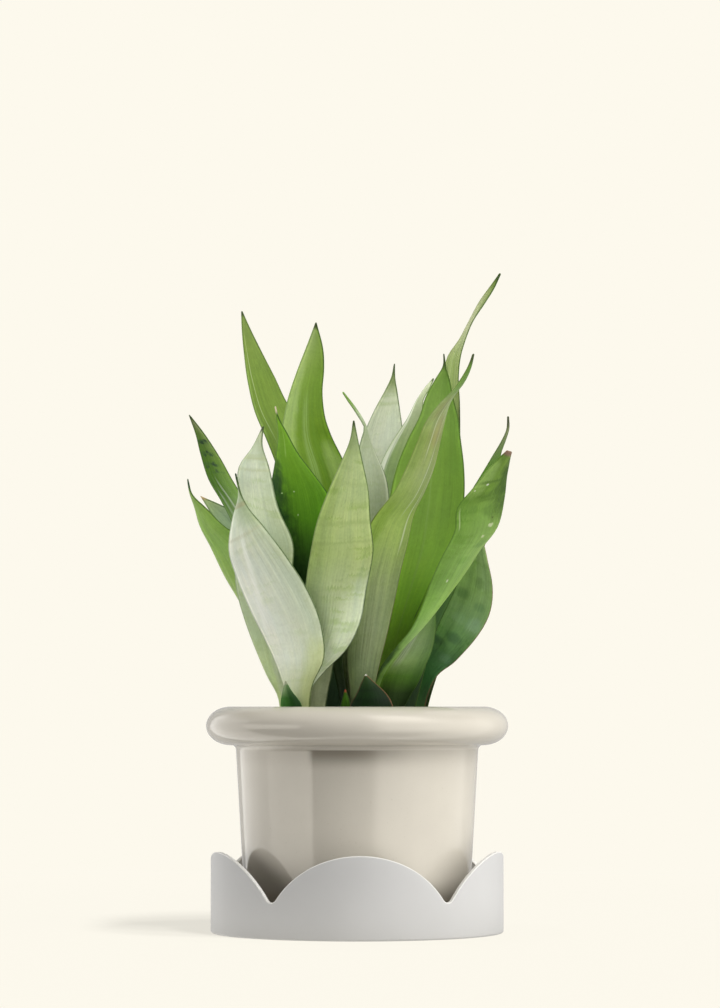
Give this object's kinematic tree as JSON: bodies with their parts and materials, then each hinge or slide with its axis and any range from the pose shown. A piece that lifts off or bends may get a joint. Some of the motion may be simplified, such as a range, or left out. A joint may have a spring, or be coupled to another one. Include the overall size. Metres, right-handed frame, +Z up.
{
  "type": "potted snake plant",
  "caption": "Upright foliage plant with broad pale silver and green sword-shaped leaves, in a glazed pot with a rolled rim on a scalloped saucer.",
  "frame": {"origin": "middle of the saucer's flat underside", "axes": "+Z up along the pot's axis; the side shown in the picture faces -Y, so +X is to its right"},
  "size_m": [0.2244, 0.212, 0.4688],
  "materials": {
    "saucer": "matt",
    "pot": "gloss",
    "soil": "matt, crumbly",
    "silver_leaf": "satin, waxy",
    "sage_leaf": "satin, waxy",
    "green_leaf": "satin, waxy",
    "deep_green_leaf": "satin, waxy",
    "blue_green_leaf": "satin, waxy",
    "olive_leaf": "satin, waxy"
  },
  "bodies": {
    "root": {"saucer": "saucer", "pot": "pot", "soil": "soil", "leaf_silver_front_left": "silver_leaf", "leaf_silver_left": "silver_leaf", "leaf_curled_tip_centre": "silver_leaf", "leaf_pale_back": "silver_leaf", "leaf_rear_right": "silver_leaf", "leaf_rear_far_left": "silver_leaf", "leaf_sage_front_centre": "sage_leaf", "leaf_arched_back": "sage_leaf", "leaf_tallest_right": "sage_leaf", "leaf_rear_centre": "sage_leaf", "leaf_tall_left": "green_leaf", "leaf_tall_centre_left": "green_leaf", "leaf_outer_left": "green_leaf", "leaf_broad_green_right": "green_leaf", "leaf_scarred_right": "green_leaf", "leaf_hooked_right": "green_leaf", "leaf_short_right": "green_leaf", "young_leaf_small_centre": "green_leaf", "leaf_rear_left": "green_leaf", "leaf_rear_far_right": "green_leaf", "young_leaf_rear": "green_leaf", "leaf_deep_green_centre_left": "deep_green_leaf", "leaf_banded_left": "deep_green_leaf", "young_leaf_front_left": "deep_green_leaf", "young_leaf_front_centre": "deep_green_leaf", "leaf_rear_centre_left": "deep_green_leaf", "leaf_blue_left": "blue_green_leaf", "leaf_dark_outer_right": "blue_green_leaf", "leaf_olive_twisted": "olive_leaf"}
  },
  "joints": []
}
